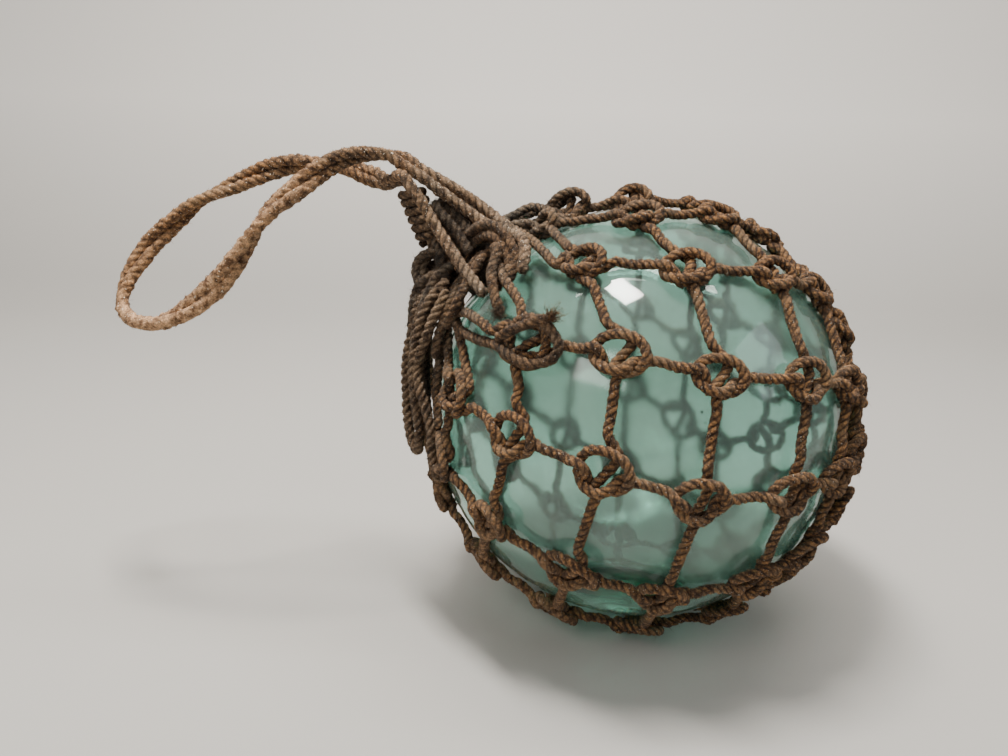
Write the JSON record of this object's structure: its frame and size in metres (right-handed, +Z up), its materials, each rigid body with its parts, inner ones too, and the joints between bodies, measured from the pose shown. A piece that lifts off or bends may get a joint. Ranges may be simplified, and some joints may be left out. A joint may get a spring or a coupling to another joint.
{
  "type": "glass float ball in a rope net",
  "caption": "Sealed glass fishing float in a knotted rope net, gathered at a neck with a doubled rope carrying loop.",
  "frame": {"origin": "on the floor under the centre of the ball, at the middle of the flat of the net's foot knot", "axes": "+Z up, +X from the carrying loop towards the ball, +Y to the back"},
  "size_m": [0.5409, 0.3218, 0.3418],
  "materials": {
    "glass": "aged aqua-green blown glass, clear and hollow to the eye, with swirls, bubbles and a dull film of dirt",
    "net_rope": "weathered tarred net rope, rust brown to grey brown, hairy and crusted",
    "becket_rope": "weathered tarred rope, rust brown with a gritty crust",
    "coil_rope": "dark weathered cord in tight turns",
    "head_rope": "grey-brown weathered three-strand rope"
  },
  "bodies": {
    "root": {"glass_ball": "glass", "net": "net_rope", "becket": "becket_rope", "coil": "coil_rope", "head_rope": "head_rope"}
  },
  "joints": []
}
